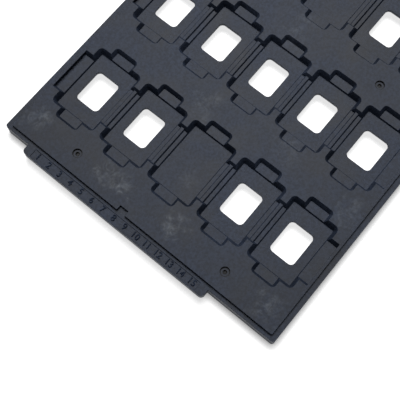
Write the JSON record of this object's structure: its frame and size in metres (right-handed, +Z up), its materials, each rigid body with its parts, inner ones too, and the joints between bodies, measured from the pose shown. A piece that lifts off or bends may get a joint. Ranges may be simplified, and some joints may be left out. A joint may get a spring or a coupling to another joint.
{
  "type": "ic matrix tray",
  "caption": "Thin stackable moulded tray with rows of stepped, linked pockets for integrated circuits, a raised deck inside a ledge, and a tab at each end.",
  "frame": {"origin": "middle of the resting face, under the middle of the overall outline", "axes": "+X along the tray away from the end with the marking panel, +Y across it, +Z up out of the pockets"},
  "size_m": [0.3226, 0.136, 0.0076],
  "materials": {
    "tray_plastic": "satin, carbon-filled heat-resistant moulding compound, dark charcoal with a slight blue cast"
  },
  "bodies": {
    "root": {"tray": "tray_plastic"}
  },
  "joints": []
}
